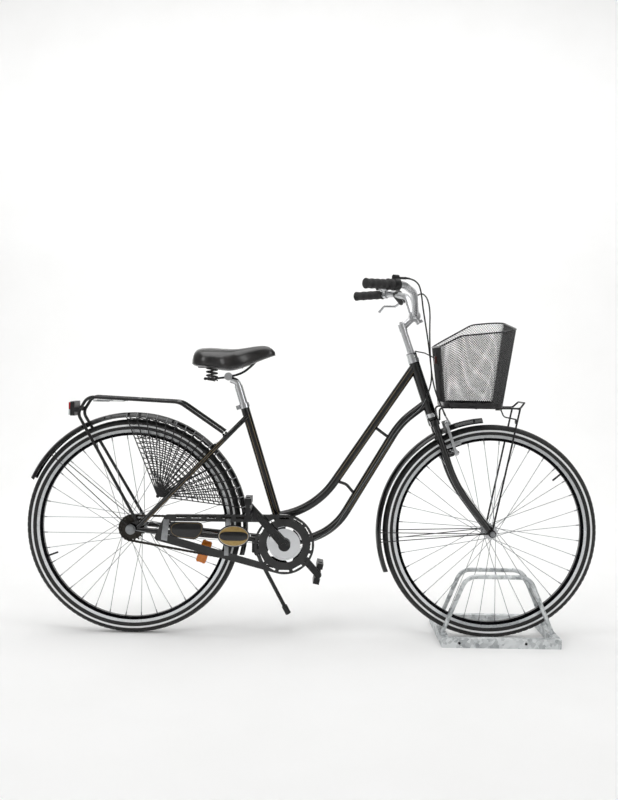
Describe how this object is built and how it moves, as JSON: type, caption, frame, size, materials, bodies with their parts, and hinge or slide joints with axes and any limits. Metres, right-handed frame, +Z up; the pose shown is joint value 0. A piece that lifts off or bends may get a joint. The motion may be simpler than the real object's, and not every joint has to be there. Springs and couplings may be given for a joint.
{
  "type": "city bicycle in floor stand",
  "caption": "Step-through city bicycle with wire basket, rear rack, skirt guards and kickstand, held upright by its front wheel in a galvanised floor stand.",
  "frame": {"origin": "point where the front tyre touches the floor, under the front hub", "axes": "+X forward, +Y to the rider's left, +Z up"},
  "size_m": [1.858, 0.6192, 1.169],
  "materials": {
    "black_enamel": "gloss",
    "silver_enamel": "satin",
    "galvanised_steel": "matt spangle",
    "aluminium": "satin",
    "chrome": "bright",
    "steel": "satin",
    "black_steel": "satin",
    "tyre_rubber": "matt",
    "black_rubber": "matt",
    "black_plastic": "satin",
    "black_gloss_plastic": "gloss",
    "guard_plastic": "gloss, see-through edge",
    "net": "knotted net",
    "saddle_cover": "vinyl grain",
    "lamp": "gloss",
    "cable_jacket": "satin",
    "basket_wire": "satin wire mesh"
  },
  "bodies": {
    "stand": {"stand_base": "galvanised_steel", "stand_hoops": "galvanised_steel"},
    "front_fork": {"fork": "black_enamel", "headset_nut_and_bolts": "steel", "stem": "aluminium", "handlebar": "aluminium", "left_grip": "black_rubber", "right_grip": "black_rubber", "shifter_housing": "black_plastic", "brake_lever_bracket": "black_plastic", "bell": "chrome", "front_brake_cable": "cable_jacket", "gear_cable": "cable_jacket", "front_fender": "black_gloss_plastic", "front_rack": "black_steel", "basket": "basket_wire", "basket_strut": "black_steel", "front_axle": "steel"},
    "frame": {"frame": "black_enamel", "bearing_cups": "steel", "seat_clamp": "chrome", "rear_fender": "black_gloss_plastic", "skirt_guards": "net", "rear_rack": "black_steel", "rack_clip_springs": "steel", "tail_light": "lamp", "chain_guard": "guard_plastic", "chain_guard_trim": "black_plastic", "chain": "steel", "rear_axle": "steel", "coaster_arm": "steel", "kickstand_bracket": "black_steel", "gear_wire": "steel"},
    "front_wheel": {"front_tyre": "tyre_rubber", "front_inner_tube": "black_rubber", "front_rim": "aluminium", "front_spokes": "steel", "front_hub_shell": "aluminium"},
    "rear_wheel": {"rear_tyre": "tyre_rubber", "rear_inner_tube": "black_rubber", "rear_rim": "aluminium", "rear_spokes": "steel", "rear_hub_shell": "aluminium"},
    "gear_twist": {"shifter_sleeve": "black_rubber"},
    "brake_lever": {"brake_lever": "aluminium"},
    "left_brake_arm": {"left_brake_arm": "aluminium"},
    "right_brake_arm": {"right_brake_arm": "aluminium", "brake_noodle": "steel"},
    "bell_lever": {"bell_lever": "black_plastic"},
    "cranks": {"cranks": "black_steel", "chainring": "steel", "pedal_spindles": "steel"},
    "sprocket": {"rear_sprocket": "steel"},
    "right_pedal": {"right_pedal": "black_plastic"},
    "left_pedal": {"left_pedal": "black_plastic"},
    "kickstand": {"kickstand_leg": "black_steel"},
    "saddle": {"seat_post": "steel", "saddle_frame": "steel", "saddle": "saddle_cover"},
    "rack_clip": {"rack_clip": "black_steel"}
  },
  "joints": [
    {"name": "lift_out", "type": "slide", "parent": "stand", "child": "front_fork", "axis": [0, 0, 1], "range_m": [0, 0.4]},
    {"name": "front_wheel_spin", "type": "hinge", "parent": "front_fork", "child": "front_wheel", "pos_m": [0, 0, 0.349], "axis": [0, 1, 0], "continuous": true},
    {"name": "steering", "type": "hinge", "parent": "front_fork", "child": "frame", "pos_m": [-0.05855, 0, 0.32861], "axis": [-0.3289, 0, 0.9444], "range_deg": [-60, 60], "deforming": ["gear_cable"]},
    {"name": "brake_squeeze", "type": "hinge", "parent": "front_fork", "child": "brake_lever", "pos_m": [-0.284, 0.175, 1.104], "axis": [0.6002, 0.6042, 0.5242], "range_deg": [0, 14], "stiffness_Nm_per_rad": 1, "springref_deg": -14.32, "deforming": ["brake_noodle"]},
    {"name": "left_arm_pivot", "type": "hinge", "parent": "front_fork", "child": "left_brake_arm", "pos_m": [-0.15162, 0.042, 0.59587], "axis": [0.9444, 0, 0.3289], "range_deg": [0, 4], "deforming": ["brake_noodle"]},
    {"name": "right_arm_pivot", "type": "hinge", "parent": "front_fork", "child": "right_brake_arm", "pos_m": [-0.15162, -0.042, 0.59587], "axis": [0.9444, 0, 0.3289], "range_deg": [-4, 0], "deforming": ["brake_noodle"]},
    {"name": "gear_twist", "type": "hinge", "parent": "front_fork", "child": "gear_twist", "pos_m": [-0.35707, -0.23662, 1.13052], "axis": [0.8013, 0.5977, 0.0263], "range_deg": [0, 75]},
    {"name": "bell_push", "type": "hinge", "parent": "front_fork", "child": "bell_lever", "pos_m": [-0.33624, 0.22108, 1.13121], "axis": [-0.25, -0.6, 0.76], "range_deg": [0, 25], "stiffness_Nm_per_rad": 0.05, "springref_deg": -17.19},
    {"name": "rear_wheel_spin", "type": "hinge", "parent": "frame", "child": "rear_wheel", "pos_m": [-1.16, 0, 0.349], "axis": [0, 1, 0], "continuous": true},
    {"name": "crank_spin", "type": "hinge", "parent": "frame", "child": "cranks", "pos_m": [-0.66823, 0, 0.306], "axis": [0, 1, 0], "continuous": true, "deforming": ["chain"]},
    {"name": "sprocket_spin", "type": "hinge", "parent": "frame", "child": "sprocket", "pos_m": [-1.16, 0, 0.349], "axis": [0, 1, 0], "continuous": true, "deforming": ["chain"]},
    {"name": "right_pedal_spin", "type": "hinge", "parent": "cranks", "child": "right_pedal", "pos_m": [-0.78065, 0, 0.43085], "axis": [0, 1, 0], "continuous": true},
    {"name": "left_pedal_spin", "type": "hinge", "parent": "cranks", "child": "left_pedal", "pos_m": [-0.55582, 0, 0.18115], "axis": [0, 1, 0], "continuous": true},
    {"name": "kickstand_fold", "type": "hinge", "parent": "frame", "child": "kickstand", "pos_m": [-0.759, 0.024, 0.262], "axis": [0, 1, 0], "range_deg": [0, 100]},
    {"name": "saddle_height", "type": "slide", "parent": "frame", "child": "saddle", "axis": [-0.299, 0, 0.9542], "range_m": [-0.05, 0.09]},
    {"name": "clip_lift", "type": "hinge", "parent": "frame", "child": "rack_clip", "pos_m": [-1.19, 0, 0.762], "axis": [0, 1, 0], "range_deg": [0, 60], "stiffness_Nm_per_rad": 0.3, "springref_deg": -22.92, "deforming": ["rack_clip_springs"]}
  ],
  "couplings": [
    {"joint": "left_arm_pivot", "follows": "brake_squeeze", "ratio": 0.2857},
    {"joint": "right_arm_pivot", "follows": "brake_squeeze", "ratio": -0.2857},
    {"joint": "sprocket_spin", "follows": "crank_spin", "ratio": 2}
  ]
}
